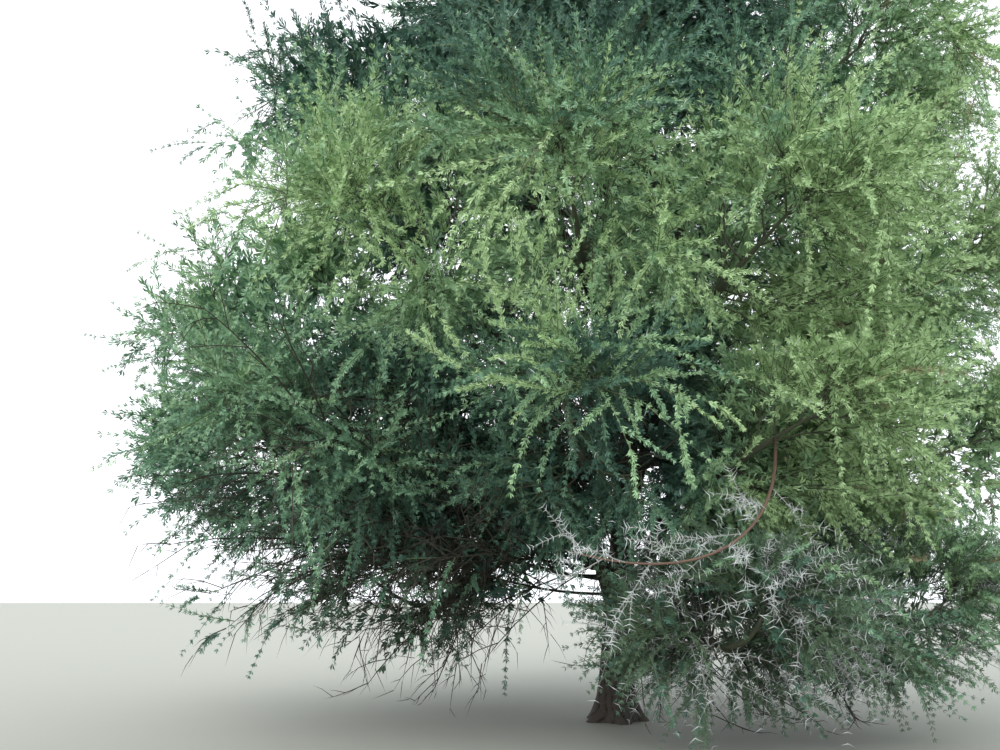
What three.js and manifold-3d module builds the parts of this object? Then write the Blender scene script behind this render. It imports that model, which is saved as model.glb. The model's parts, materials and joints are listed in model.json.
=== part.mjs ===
// A spreading acacia with a low fork, arching boughs and feathery masses of thorny twigs.
// Millimetres, +Z up. The origin is the middle of the flat cut under the trunk, at ground level.
// The tree is seen from the -Y side, with +X to the right. Azimuths run anticlockwise from +X.
import * as THREE from "three";
import { mergeVertices } from "three/addons/utils/BufferGeometryUtils.js";
import Module from "manifold-3d";

const wasm = await Module();
wasm.setup();

// Driving dimensions
const crownSpread = 11800; // across the boughs at their widest
const crownHeight = 11300; // ground to the highest spray
const forkHeight = 1350; // where the trunk ends in its leader
const trunkRadius = 190; // at the fork
const flareRadius = 350; // at the ground, between the root ridges
const clearance = 0.3; // between two pieces that meet
const boughRadius = 60; // at the foot of a bough that states no girth
const stemRadius = 42; // of a mass's own stem where it meets its bough
const twigRadius = 19; // at the foot of a twig
const twigSteps = 2; // straight stretches in a twig
const sprayLength = 1100; // a leafy spray, drawn as one blade
const sprayWidth = 0.42; // of its length
const sprayThickness = 0.045; // of its length
const twigsPerMass = 8;
const sprayShares = [1, 0.6]; // where the sprays stand along a twig
const sprayTurns = 6; // tries that a spray has to find its place
const furthestReach = 1.08; // of a twig, as a share of its mass's half-sizes
const whipReach = 1.22; // of the one twig that carries a mass furthest out
const entryDepth = -0.52; // where a bough ends, as a share of the mass's half-size towards the trunk
const stemEnd = 0.3; // where a stem ends, as a share of the half-size away from the trunk
const goldenAngle = Math.PI * (3 - Math.sqrt(5));
const zenith = new THREE.Vector3(0, 0, 1);

// Shares of the driving dimensions that place each layer of the crown.
// entry is how high a bough comes into its mass, as a share of the half-height.
// rise is how steeply it climbs there.
const usual = { entry: -0.25, rise: 0.3 };
const layers = {
  top: { height: 0.87 * crownHeight, out: 0.2 * crownSpread, half: [1800, 1850, 1350], entry: -0.6 },
  upper: { height: 0.67 * crownHeight, out: 0.265 * crownSpread, half: [1700, 1700, 1500] },
  shoulder: { height: 0.46 * crownHeight, out: 0.315 * crownSpread, half: [1750, 1700, 1500] },
  skirt: { height: 0.28 * crownHeight, out: 0.31 * crownSpread, half: [1700, 1600, 1350] },
  hem: { height: 0.13 * crownHeight, out: 0.25 * crownSpread, half: [1400, 1450, 1050], rise: -0.35 },
};

// One row a mass. Its name starts with its layer, and azimuth is where it lies round the trunk.
// out and lift are how far it departs from its layer, as a share and in millimetres.
// Its own bough leaves the limb called from, at that share of its length, with the radius girth at its foot.
// leafy is the share of its sprays that the mass keeps.
const masses = [
  { name: "top_centre", azimuth: 120, out: 0.12, lift: 350, from: "trunk", at: 0.9, girth: 168 },
  { name: "shoulder_front_left", azimuth: 228, lift: -100, from: "trunk", at: 0.8, girth: 92 },
  { name: "shoulder_right", azimuth: 12, out: 1.05, lift: 250, from: "trunk", at: 0.72, girth: 104 },
  { name: "shoulder_back_left", azimuth: 122, lift: 200, from: "trunk", at: 0.86, girth: 98 },
  { name: "shoulder_front_right", azimuth: 290, out: 0.92, lift: -250, from: "top_centre", at: 0.1, girth: 84 },
  { name: "skirt_left", azimuth: 175, out: 1.28, lift: 100, from: "shoulder_front_left", at: 0.16, girth: 70 },
  { name: "hem_right", azimuth: 331, out: 1.15, lift: -100, leafy: 0.5, from: "trunk", at: 0.55, girth: 66 },
  { name: "top_right", azimuth: 335, from: "top_centre", at: 0.74 },
  { name: "top_back", azimuth: 82, lift: -150, from: "top_centre", at: 0.78 },
  { name: "top_left", azimuth: 204, lift: 50, from: "top_centre", at: 0.7 },
  { name: "upper_left", azimuth: 184, out: 0.98, lift: 250, from: "top_centre", at: 0.4 },
  { name: "upper_front", azimuth: 246, out: 0.66, from: "top_centre", at: 0.46 },
  { name: "upper_front_right", azimuth: 312, out: 1.05, lift: -350, from: "top_centre", at: 0.34 },
  { name: "upper_right", azimuth: 6, out: 1.1, lift: 250, from: "top_centre", at: 0.5 },
  { name: "upper_back_right", azimuth: 64, lift: -250, from: "top_centre", at: 0.38 },
  { name: "upper_back_left", azimuth: 128, lift: 150, from: "top_centre", at: 0.53 },
  { name: "shoulder_left", azimuth: 180, out: 1.12, lift: -500, from: "shoulder_front_left", at: 0.5 },
  { name: "shoulder_front", azimuth: 259, from: "shoulder_front_right", at: 0.42 },
  { name: "shoulder_right_front", azimuth: 333, lift: -250, from: "shoulder_right", at: 0.4 },
  { name: "shoulder_back_right", azimuth: 66, lift: -150, from: "shoulder_right", at: 0.34 },
  { name: "skirt_left_front", azimuth: 208, out: 0.98, lift: 250, from: "skirt_left", at: 0.3 },
  { name: "skirt_front", azimuth: 257, out: 0.84, from: "shoulder_front_left", at: 0.4 },
  { name: "skirt_front_right", azimuth: 297, out: 0.86, lift: -50, from: "shoulder_front_right", at: 0.3 },
  { name: "skirt_right", azimuth: 349, out: 1.05, from: "shoulder_right", at: 0.26 },
  { name: "skirt_back_right", azimuth: 42, out: 1.06, lift: -150, from: "shoulder_right", at: 0.2 },
  { name: "skirt_back_left", azimuth: 122, out: 1.08, lift: -150, from: "shoulder_back_left", at: 0.3 },
  { name: "hem_left", azimuth: 160, lift: 150, leafy: 0.5, from: "skirt_left", at: 0.2 },
  { name: "hem_front", azimuth: 288, lift: -150, leafy: 0.5, from: "hem_right", at: 0.3 },
];

// A value from 0 to 1 that is always the same for the same two numbers
function chance(index, salt) {
  const wave = Math.sin(index * 12.9898 + salt * 78.233) * 43758.5453;
  return wave - Math.floor(wave);
}

function polar(azimuth, out, height) {
  const angle = THREE.MathUtils.degToRad(azimuth);
  return new THREE.Vector3(out * Math.cos(angle), out * Math.sin(angle), height);
}

// A closed three.js geometry as a manifold solid
function solidOf(geometry) {
  const bare = geometry.clone();
  bare.deleteAttribute("normal");
  bare.deleteAttribute("uv");
  const merged = mergeVertices(bare, 1e-3);
  return new wasm.Manifold(
    new wasm.Mesh({
      numProp: 3,
      vertProperties: merged.attributes.position.array,
      triVerts: new Uint32Array(merged.index.array),
    }),
  );
}

// The largest body of a solid, so that a scrap left by a cut is dropped
function largestBody(solid) {
  const bodies = solid.decompose();
  return bodies.reduce((best, body) => (body.volume() > best.volume() ? body : best));
}

function geometryOf(solid) {
  const mesh = solid.getMesh();
  const geometry = new THREE.BufferGeometry();
  geometry.setAttribute("position", new THREE.BufferAttribute(mesh.vertProperties, mesh.numProp));
  geometry.setIndex(new THREE.BufferAttribute(mesh.triVerts, 1));
  return geometry;
}

// A unit cylinder or cone, upright on Y, laid along a curve with its sides at radiusAt(share of the length)
function bendAlong(geometry, curve, steps, radiusAt) {
  const frames = curve.computeFrenetFrames(steps);
  const position = geometry.getAttribute("position");
  for (let i = 0; i < position.count; i++) {
    const step = Math.round((position.getY(i) + 0.5) * steps);
    const radius = radiusAt(step / steps);
    const point = curve.getPointAt(step / steps);
    point.addScaledVector(frames.normals[step], position.getX(i) * radius);
    point.addScaledVector(frames.binormals[step], -position.getZ(i) * radius);
    position.setXYZ(i, point.x, point.y, point.z);
  }
  return geometry;
}

// The trunk leans a little to the right as it rises, and every ring of it is level
function trunkCentre(height) {
  const share = height / forkHeight;
  return new THREE.Vector3(130 * share * share, 40 * Math.sin(2.2 * share), height);
}

// Five root ridges die out a third of the way up
function trunkRadiusAt(height, angle) {
  const flare = Math.exp(-height / 260);
  const ridges = 1 + 0.2 * flare * Math.cos(5 * angle + 0.6);
  return (trunkRadius + (flareRadius - trunkRadius) * flare) * ridges;
}

function trunkSolid(extra = 0) {
  const rings = 10;
  const geometry = new THREE.CylinderGeometry(1, 1, 1, 16, rings);
  const position = geometry.getAttribute("position");
  for (let i = 0; i < position.count; i++) {
    const height = (position.getY(i) + 0.5) ** 1.6 * (forkHeight + extra);
    const angle = Math.atan2(-position.getZ(i), position.getX(i));
    const centre = trunkCentre(height);
    const isAxis = Math.hypot(position.getX(i), position.getZ(i)) < 0.5;
    const radius = isAxis ? 0 : trunkRadiusAt(height, angle) + extra;
    centre.x += radius * Math.cos(angle);
    centre.y += radius * Math.sin(angle);
    position.setXYZ(i, centre.x, centre.y, centre.z);
  }
  return solidOf(geometry);
}

// The space of a mass: an ellipsoid whose first half-size lies along its azimuth
function placeMass(mass) {
  mass.layer = mass.name.split("_")[0];
  const layer = { ...usual, ...layers[mass.layer] };
  const out = layer.out * (mass.out ?? 1);
  Object.assign(mass, { half: layer.half, entry: layer.entry, rise: layer.rise });
  mass.centre = polar(mass.azimuth, out, layer.height + (mass.lift ?? 0));
  mass.outward = polar(mass.azimuth, 1, 0);
  mass.sideways = polar(mass.azimuth + 90, 1, 0);
}

function inMass(mass, along, across, up) {
  return mass.centre
    .clone()
    .addScaledVector(mass.outward, along * mass.half[0])
    .addScaledVector(mass.sideways, across * mass.half[1])
    .addScaledVector(zenith, up * mass.half[2]);
}

// How far a point lies out in a mass's space: 0 at its centre, 1 on its skin
function depthIn(mass, point) {
  const offset = point.clone().sub(mass.centre);
  return Math.hypot(
    offset.dot(mass.outward) / mass.half[0],
    offset.dot(mass.sideways) / mass.half[1],
    offset.z / mass.half[2],
  );
}

function keepsToSpace(mass, point) {
  const own = depthIn(mass, point);
  const isNearest = masses.every((other) => other === mass || own + 0.03 < depthIn(other, point));
  return own < whipReach + 0.05 && isNearest;
}

// The leader carries the trunk on up through the crown
function isLeader(mass) {
  return mass.from === "trunk" && mass.layer === "top";
}

// A bough leaves its parent along the parent's own run, swings out, and ends where it enters its mass
function boughCurve(mass, number) {
  const parent = limbs.get(mass.from);
  const foot = parent.pointAt(mass.at);
  const tip = inMass(mass, entryDepth, 0, mass.entry);
  const span = tip.clone().sub(foot);
  const length = span.length();
  const leaving = parent.tangentAt(mass.at).multiplyScalar(isLeader(mass) ? 3 : 0.5);
  leaving.addScaledVector(span, 1 / length).normalize();
  const entering = mass.outward.clone().addScaledVector(zenith, mass.rise).normalize();
  if (isLeader(mass)) entering.lerp(zenith, 0.85).normalize();
  const sway = (chance(number, 3) - 0.5) * 0.24 * length;
  const nearFoot = foot.clone().addScaledVector(leaving, 0.36 * length);
  const nearTip = tip.clone().addScaledVector(entering, -0.34 * length).addScaledVector(mass.sideways, sway);
  return new THREE.CubicBezierCurve3(foot, nearFoot, nearTip, tip);
}

function boughSolid(limb, extra = 0) {
  const sides = limb.girth > 80 ? 8 : 6;
  const steps = limb.girth > 80 ? 8 : 5;
  const geometry = new THREE.CylinderGeometry(1, 1, 1, sides, steps);
  return solidOf(bendAlong(geometry, limb.curve, steps, (share) => limb.radiusAt(share) + extra));
}

function boxesMeet(a, b) {
  const [p, q] = [a.boundingBox(), b.boundingBox()];
  return [0, 1, 2].every((k) => p.min[k] <= q.max[k] && q.min[k] <= p.max[k]);
}

function growLimb(mass, number) {
  const curve = boughCurve(mass, number);
  const girth = mass.girth ?? boughRadius;
  const limb = {
    curve,
    girth,
    pointAt: (share) => curve.getPoint(share),
    tangentAt: (share) => curve.getTangent(share),
    radiusAt: (share) => girth + (stemRadius - girth) * share ** 0.8,
  };
  limb.solid = boughSolid(limb);
  for (const earlier of limbs.values()) {
    if (boxesMeet(limb.solid, earlier.thicker)) limb.solid = limb.solid.subtract(earlier.thicker);
  }
  limb.solid = largestBody(limb.solid);
  limb.thicker = boughSolid(limb, 1.3 * clearance);
  limbs.set(mass.name, limb);
}

const limbs = new Map();
limbs.set("trunk", {
  pointAt: (share) => trunkCentre(share * forkHeight),
  tangentAt: () => zenith.clone(),
  solid: trunkSolid(),
  thicker: trunkSolid(1.3 * clearance),
});
masses.forEach(placeMass);
masses.forEach(growLimb);

// The stem of a mass runs on from its bough's tip through the middle of the space
function stemCurve(mass) {
  const limb = limbs.get(mass.name);
  const heading = limb.tangentAt(1);
  const root = limb.pointAt(1).addScaledVector(heading, clearance);
  const end = inMass(mass, stemEnd, 0, 0.08);
  const bend = root.clone().addScaledVector(heading, 0.5 * root.distanceTo(end));
  return new THREE.QuadraticBezierCurve3(root, bend, end);
}

// Twig number i of a mass heads for the i-th of a set of directions that lie evenly all round.
// It reaches as far as its mass's own space goes that way, and leaves room for the spray at its tip.
// Its foot on the stem lies behind its aim. It arches over high in the mass and sags low down.
function twigCurve(mass, stem, number, salt) {
  const level = 1 - 2 * ((0.5 + number * 0.754877) % 1);
  const angle = number * goldenAngle + 0.5 * chance(salt, 5);
  const ring = Math.sqrt(1 - level * level);
  let reach = number === 0 ? whipReach : furthestReach - 0.14 * chance(number, salt);
  let tip;
  do {
    tip = inMass(mass, ring * Math.cos(angle) * reach, ring * Math.sin(angle) * reach, level * reach);
    reach -= 0.05;
  } while (reach > 0.4 && !keepsToSpace(mass, tip));
  const root = stem.getPoint(0);
  const run = stem.getPoint(1).sub(root);
  const runLength = run.length();
  const offset = tip.clone().sub(root);
  const along = offset.dot(run) / runLength;
  const beside = Math.sqrt(Math.max(offset.lengthSq() - along * along, 0));
  const share = THREE.MathUtils.clamp((along - 0.8 * beside) / runLength, 0.08, 0.97);
  const foot = stem.getPoint(share);
  const length = foot.distanceTo(tip);
  const aim = foot.clone().lerp(tip, Math.max(1 - (0.85 * sprayLength) / length, 0.3));
  const arch = length * (level > -0.3 ? 0.14 : -0.1);
  const middle = foot.clone().lerp(aim, 0.5).addScaledVector(zenith, arch);
  return new THREE.QuadraticBezierCurve3(foot, middle, aim);
}

// A point on the straight stretches that stand for a twig's curve
function pointOnTwig(twig, share) {
  const step = Math.min(Math.floor(share * twigSteps), twigSteps - 1);
  const from = twig.getPointAt(step / twigSteps);
  return from.lerp(twig.getPointAt((step + 1) / twigSteps), share * twigSteps - step);
}

// Spray k leaves its twig turned round by the golden angle from the last, and the one at the tip runs on
function sprayPlace(twig, k, salt) {
  const share = sprayShares[k];
  const foot = pointOnTwig(twig, share);
  const run = twig.getTangentAt(share);
  const spread = k === 0 ? 0.05 : 0.85 + 0.35 * chance(k, salt);
  const side = new THREE.Vector3().crossVectors(run, zenith).normalize();
  side.applyAxisAngle(run, k * goldenAngle + 6 * chance(k, salt + 1));
  const heading = run.clone().multiplyScalar(Math.cos(spread)).addScaledVector(side, Math.sin(spread));
  heading.addScaledVector(zenith, 0.12).normalize();
  const length = sprayLength * (0.75 + 0.4 * chance(k, salt + 2));
  const sunk = k === 0 ? 0.1 * length : 0.6 * twigRadius * (1 - share);
  return { foot, heading, length, sunk, turn: Math.PI * chance(k, salt + 3) };
}

// A spray is an octahedron drawn out to a blade, with its foot sunk in the twig
function spraySolid({ foot, heading, length, sunk, turn }) {
  const side = new THREE.Vector3().crossVectors(heading, zenith).normalize().applyAxisAngle(heading, turn);
  const face = new THREE.Vector3().crossVectors(heading, side);
  const geometry = new THREE.OctahedronGeometry(0.5);
  const position = geometry.getAttribute("position");
  for (let i = 0; i < position.count; i++) {
    const along = position.getX(i);
    const waist = Math.abs(along) < 0.25 ? -0.06 : 0;
    const point = foot.clone().addScaledVector(heading, (along + 0.5 + waist) * length - sunk);
    point.addScaledVector(side, position.getY(i) * length * sprayWidth);
    point.addScaledVector(face, position.getZ(i) * length * sprayThickness);
    position.setXYZ(i, point.x, point.y, point.z);
  }
  return solidOf(geometry);
}

function touchesAny(solid, others) {
  return others.some((other) => boxesMeet(solid, other) && !solid.intersect(other).isEmpty());
}

// The twigs of a mass that keep to its space and clear of every limb
function massTwigs(mass, stem, salt, taken) {
  const twigs = [];
  for (let i = 0; i < twigsPerMass; i++) {
    const curve = twigCurve(mass, stem, i, salt);
    const inside = [0.35, 0.7, 1].every((share) => keepsToSpace(mass, curve.getPointAt(share)));
    const geometry = new THREE.ConeGeometry(1, 1, 3, twigSteps);
    const solid = solidOf(bendAlong(geometry, curve, twigSteps, () => twigRadius));
    if (inside && !touchesAny(solid, taken)) twigs.push({ curve, solid, number: i });
  }
  return twigs;
}

// A spray that would leave the space or cross anything but its own twig is turned, and at last skipped
function hangSpray(mass, twig, k, salt, taken) {
  for (let turn = 0; turn < sprayTurns; turn++) {
    const place = sprayPlace(twig.curve, k, salt + twig.number + 0.3 * turn);
    const tip = place.foot.clone().addScaledVector(place.heading, place.length - place.sunk);
    const spray = spraySolid(place);
    if (keepsToSpace(mass, tip) && !touchesAny(spray, taken)) return spray;
  }
  return null;
}

// Twigs and sprays are joined to the stem as one body
function massSolid(mass, salt, finished) {
  const stem = stemCurve(mass);
  const around = [...limbs.values()].map((limb) => limb.thicker).concat(finished);
  const stemGeometry = new THREE.CylinderGeometry(1, 1, 1, 4, 3);
  const stemTaper = (share) => stemRadius * (1 - 0.35 * share);
  const stemSolid = solidOf(bendAlong(stemGeometry, stem, 3, stemTaper));
  const twigs = massTwigs(mass, stem, salt, around);
  const sprays = [];
  for (const twig of twigs) {
    const strangers = twigs.filter((other) => other !== twig).map((other) => other.solid);
    for (let k = 0; k < sprayShares.length; k++) {
      if (chance(twig.number * 7 + k, salt + 4) > (mass.leafy ?? 0.9)) continue;
      const spray = hangSpray(mass, twig, k, salt, [...around, ...sprays, ...strangers, stemSolid]);
      if (spray) sprays.push(spray);
    }
  }
  const pieces = [stemSolid, ...twigs.map((twig) => twig.solid), ...sprays];
  return largestBody(wasm.Manifold.union(pieces).simplify(1));
}

const colours = {
  bark: "#4a4038",
  bough: "#40372f",
  leaves: "#5f7d48",
  shaded: "#3f5f46",
  thorns: "#7d8474",
};

function leafColour(mass) {
  if (mass.layer === "hem") return colours.thorns;
  return mass.layer === "top" || mass.layer === "upper" ? colours.shaded : colours.leaves;
}

function addMesh(group, name, solid, colour) {
  const material = new THREE.MeshStandardMaterial({ color: colour, roughness: 0.9, metalness: 0 });
  const mesh = new THREE.Mesh(geometryOf(solid), material);
  mesh.name = name;
  group.add(mesh);
}

const tree = new THREE.Group();
tree.name = "acacia_tree";
const wood = new THREE.Group();
const foliage = new THREE.Group();
tree.add(wood, foliage);
addMesh(wood, "trunk", limbs.get("trunk").solid, colours.bark);
const finished = [];
masses.forEach((mass, number) => {
  const solid = massSolid(mass, number + 1, finished);
  finished.push(solid);
  addMesh(wood, "bough_" + mass.name, limbs.get(mass.name).solid, colours.bough);
  addMesh(foliage, "mass_" + mass.name, solid, leafColour(mass));
});

export default tree;
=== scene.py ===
# A spreading acacia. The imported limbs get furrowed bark, and each mass of foliage is grown again
# by the part's own rule and carried on to shoots, leaf tufts and paired thorns.
# Metres, +Z up. The tree is seen from the -Y side, and azimuths run anticlockwise from +X.
import json
import math

import bpy
import numpy as np
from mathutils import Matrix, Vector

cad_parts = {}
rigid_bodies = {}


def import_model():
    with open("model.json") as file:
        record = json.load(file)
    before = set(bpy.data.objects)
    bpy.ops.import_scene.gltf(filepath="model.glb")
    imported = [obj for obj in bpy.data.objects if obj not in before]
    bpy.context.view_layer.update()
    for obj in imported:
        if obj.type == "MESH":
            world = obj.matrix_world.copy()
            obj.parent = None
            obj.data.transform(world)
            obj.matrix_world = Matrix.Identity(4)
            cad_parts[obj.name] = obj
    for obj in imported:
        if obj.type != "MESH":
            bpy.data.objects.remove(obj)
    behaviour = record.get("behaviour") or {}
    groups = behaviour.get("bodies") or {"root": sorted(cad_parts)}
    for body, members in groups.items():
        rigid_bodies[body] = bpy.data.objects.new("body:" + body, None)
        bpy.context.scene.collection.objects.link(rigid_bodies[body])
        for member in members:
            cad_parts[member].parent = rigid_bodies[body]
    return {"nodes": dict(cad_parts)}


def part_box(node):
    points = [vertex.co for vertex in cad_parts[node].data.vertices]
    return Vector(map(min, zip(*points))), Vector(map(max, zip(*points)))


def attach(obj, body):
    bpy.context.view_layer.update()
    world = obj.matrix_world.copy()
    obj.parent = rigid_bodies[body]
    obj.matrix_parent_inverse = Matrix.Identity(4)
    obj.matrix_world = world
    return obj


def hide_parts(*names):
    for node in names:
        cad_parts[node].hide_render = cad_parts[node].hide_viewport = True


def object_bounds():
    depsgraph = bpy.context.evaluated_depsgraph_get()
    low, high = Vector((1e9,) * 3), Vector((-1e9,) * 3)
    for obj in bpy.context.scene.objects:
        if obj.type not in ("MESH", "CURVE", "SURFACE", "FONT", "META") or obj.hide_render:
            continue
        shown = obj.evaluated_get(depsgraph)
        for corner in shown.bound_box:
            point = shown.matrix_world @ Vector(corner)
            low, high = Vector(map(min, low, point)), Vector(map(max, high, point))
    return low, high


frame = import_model()
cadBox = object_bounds()
boxLow, boxHigh = np.array(cadBox)
print("frame loaded:", len(frame["nodes"]), "nodes")

# The tree's driving sizes, as in the part
tree = {
    "spread": 11.8,  # across the boughs at their widest
    "height": 11.3,  # ground to the highest spray
    "fork": float(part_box("trunk")[1][2]),  # the trunk ends here in its leader
    "trunkRadius": 0.19,
    "trunkLean": 0.13,  # to the right, at its top
    "trunkBow": 0.04,
    "flareRadius": 0.35,
    "flareHeight": 0.26,  # over which the flare falls off
    "rootRidges": 5,
    "ridgeShare": 0.2,  # of the radius at the ground
    "boughRadius": 0.06,  # at the foot of a bough that states no girth
    "stemRadius": 0.042,  # of a mass's own stem where it meets its bough
    "taperPower": 0.8,
    "sprayLength": 1.1,  # the part's blades, in whose place whole shoots grow here
    "partTwigs": 8,  # twigs in each mass of the part: the rule carries on from there
    "levelStep": 0.754877,  # from twig to twig of a mass
    "furthestReach": 1.08,
    "lostReach": 0.14,  # at most, by chance
    "whipReach": 1.22,
    "leastReach": 0.45,
    "reachStep": 0.05,  # by which a twig is drawn in to its mass's space
    "massGap": 0.03,  # between that space and the next
    "footBehind": 0.8,  # of how far a tip lies beside its stem
    "footShares": (0.08, 0.97),  # of the stem
    "entryDepth": -0.52,
    "stemEnd": 0.3,
}

# How the boughs swing out: their inner controls lie these shares of the length from the ends
boughSwing = {
    "leaving": 0.36,
    "entering": 0.34,
    "sway": 0.24,
    "runShare": 0.5,  # of the parent's run in the first heading
    "leaderRunShare": 3,
    "leaderHeading": (0.15, 0.85),  # how much the leader enters its mass as others do, and straight up
}

# A layer's light is the painted light or shade that its shoots' leaves start from; the hem is painted deepest
# in shade
layers = {
    "top": dict(height=0.87, out=0.2, half=(1.8, 1.85, 1.35), entry=-0.6, rise=0.3, light=0.05),
    "upper": dict(height=0.67, out=0.265, half=(1.7, 1.7, 1.5), entry=-0.25, rise=0.3, light=0),
    "shoulder": dict(height=0.46, out=0.315, half=(1.75, 1.7, 1.5), entry=-0.25, rise=0.3, light=0),
    "skirt": dict(height=0.28, out=0.31, half=(1.7, 1.6, 1.35), entry=-0.25, rise=0.3, light=-0.1),
    "hem": dict(height=0.13, out=0.25, half=(1.4, 1.45, 1.05), entry=-0.25, rise=-0.35, light=-0.7),
}

# One row a mass: where it lies round the trunk, how far it departs from its layer, the limb that its
# bough leaves and at what share of it, and the radius at the bough's foot
masses = [
    dict(name="top_centre", azimuth=120, out=0.12, lift=0.35, parent="trunk", at=0.9, girth=0.168),
    dict(name="shoulder_front_left", azimuth=228, lift=-0.1, parent="trunk", at=0.8, girth=0.092),
    dict(name="shoulder_right", azimuth=12, out=1.05, lift=0.25, parent="trunk", at=0.72, girth=0.104),
    dict(name="shoulder_back_left", azimuth=122, lift=0.2, parent="trunk", at=0.86, girth=0.098),
    dict(name="shoulder_front_right", azimuth=290, out=0.92, lift=-0.25, girth=0.084,
         parent="top_centre", at=0.1),
    dict(name="skirt_left", azimuth=175, out=1.28, lift=0.1, girth=0.07,
         parent="shoulder_front_left", at=0.16),
    dict(name="hem_right", azimuth=331, out=1.15, lift=-0.1, parent="trunk", at=0.55, girth=0.066),
    dict(name="top_right", azimuth=335, parent="top_centre", at=0.74),
    dict(name="top_back", azimuth=82, lift=-0.15, parent="top_centre", at=0.78),
    dict(name="top_left", azimuth=204, lift=0.05, parent="top_centre", at=0.7),
    dict(name="upper_left", azimuth=184, out=0.98, lift=0.25, parent="top_centre", at=0.4),
    dict(name="upper_front", azimuth=246, out=0.66, parent="top_centre", at=0.46),
    dict(name="upper_front_right", azimuth=312, out=1.05, lift=-0.35, parent="top_centre", at=0.34),
    dict(name="upper_right", azimuth=6, out=1.1, lift=0.25, parent="top_centre", at=0.5),
    dict(name="upper_back_right", azimuth=64, lift=-0.25, parent="top_centre", at=0.38),
    dict(name="upper_back_left", azimuth=128, lift=0.15, parent="top_centre", at=0.53),
    dict(name="shoulder_left", azimuth=180, out=1.12, lift=-0.5, parent="shoulder_front_left", at=0.5),
    dict(name="shoulder_front", azimuth=259, parent="shoulder_front_right", at=0.42),
    dict(name="shoulder_right_front", azimuth=333, lift=-0.25, parent="shoulder_right", at=0.4),
    dict(name="shoulder_back_right", azimuth=66, lift=-0.15, parent="shoulder_right", at=0.34),
    dict(name="skirt_left_front", azimuth=208, out=0.98, lift=0.25, parent="skirt_left", at=0.3),
    dict(name="skirt_front", azimuth=257, out=0.84, parent="shoulder_front_left", at=0.4),
    dict(name="skirt_front_right", azimuth=297, out=0.86, lift=-0.05, parent="shoulder_front_right", at=0.3),
    dict(name="skirt_right", azimuth=349, out=1.05, parent="shoulder_right", at=0.26),
    dict(name="skirt_back_right", azimuth=42, out=1.06, lift=-0.15, parent="shoulder_right", at=0.2),
    dict(name="skirt_back_left", azimuth=122, out=1.08, lift=-0.15, parent="shoulder_back_left", at=0.3),
    dict(name="hem_left", azimuth=160, lift=0.15, parent="skirt_left", at=0.2),
    dict(name="hem_front", azimuth=288, lift=-0.15, parent="hem_right", at=0.3),
]

view = {
    "eye": (-1.4, -12.4, 1.6),
    "pitch": 12.2,  # degrees above the level
    "lens": 34.99,
    "seenPlane": 8.9,  # from the eye, where places as seen in front are measured
}

eye = np.array(view["eye"])
goldenAngle = math.pi * (3 - math.sqrt(5))
wholeTurn = 6.28  # nearly, for drawn angles
zenith = np.array([0.0, 0.0, 1.0])
draws = np.random.default_rng(11)  # for what is finer than the part's own rule


# The part's seeded rule: the fraction of a steep sine, from 0 to 1
def chance(index, salt):
    wave = np.sin(np.asarray(index) * 12.9898 + np.asarray(salt) * 78.233) * 43758.5453
    return wave - np.floor(wave)


def unit(vectors):
    return vectors / np.maximum(np.linalg.norm(vectors, axis=-1, keepdims=True), 1e-9)


def dot(first, second):
    return np.sum(first * second, axis=-1, keepdims=True)


def column(values):
    return np.asarray(values)[..., None]


# The point at an azimuth in degrees, a distance out from the trunk's foot, and a height
def polar(azimuth, out, height):
    angle = math.radians(azimuth)
    return np.array([out * math.cos(angle), out * math.sin(angle), height])


# Points on quadratic or cubic curves by repeated mixing of neighbouring controls:
# controls (..., 3 or 4, 3) and shares (..., n) give (..., n, 3)
def curvePoints(controls, shares):
    share = column(shares)
    points = [controls[..., None, number, :] for number in range(controls.shape[-2])]
    while len(points) > 1:
        points = [here * (1 - share) + there * share for here, there in zip(points, points[1:])]
    return points[0]


# Their unit directions, from the curve through the differences of the controls
def curveRuns(controls, shares):
    return unit(curvePoints(np.diff(controls, axis=-2), shares))


# Two directions square to each run: the helper with its part along the run taken off, and the
# third one that makes a right-handed set with it
def squareTo(runs, helper):
    first = unit(helper - runs * dot(runs, helper))
    return first, np.cross(runs, first)


# A horizontal direction square to each span, which stays clear of the runs of a curve over it
def helperFor(spans):
    return unit(np.cross(spans, zenith + np.array([0.02, 0.01, 0])))


# Squared distances between points (n, 3) and places (m, 3), as (n, m)
def squaresBetween(points, places):
    return np.sum(points**2, axis=1)[:, None] + np.sum(places**2, axis=1) - 2 * points @ places.T


# The trunk leans by a square and bows by a sine
def trunkCentre(height):
    share = np.asarray(height) / tree["fork"]
    across, back = tree["trunkLean"] * share**2, tree["trunkBow"] * np.sin(2.2 * share)
    return np.stack([across, back, share * tree["fork"]], axis=-1)


# The radius falls off the flare exponentially, with root ridges that die out with it
def trunkRadiusAt(height, angle):
    flare = np.exp(-height / tree["flareHeight"])
    ridges = 1 + tree["ridgeShare"] * flare * np.cos(tree["rootRidges"] * angle + 0.6)
    return (tree["trunkRadius"] + (tree["flareRadius"] - tree["trunkRadius"]) * flare) * ridges


# A bough's radius falls from its girth to its stem's by a power of the share of its length
def boughRadiusAt(girth, share):
    return girth + (tree["stemRadius"] - girth) * share ** tree["taperPower"]


# A mass lies at its layer's shares of the tree's height and spread, but for its own lift and distance out
def placeMass(mass):
    mass["layer"] = mass["name"].split("_")[0]
    layer = layers[mass["layer"]]
    out = layer["out"] * tree["spread"] * mass.get("out", 1)
    mass["half"] = np.array(layer["half"])
    mass["centre"] = polar(mass["azimuth"], out, layer["height"] * tree["height"] + mass.get("lift", 0))
    mass["axes"] = np.stack([polar(mass["azimuth"], 1, 0), polar(mass["azimuth"] + 90, 1, 0), zenith])


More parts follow.
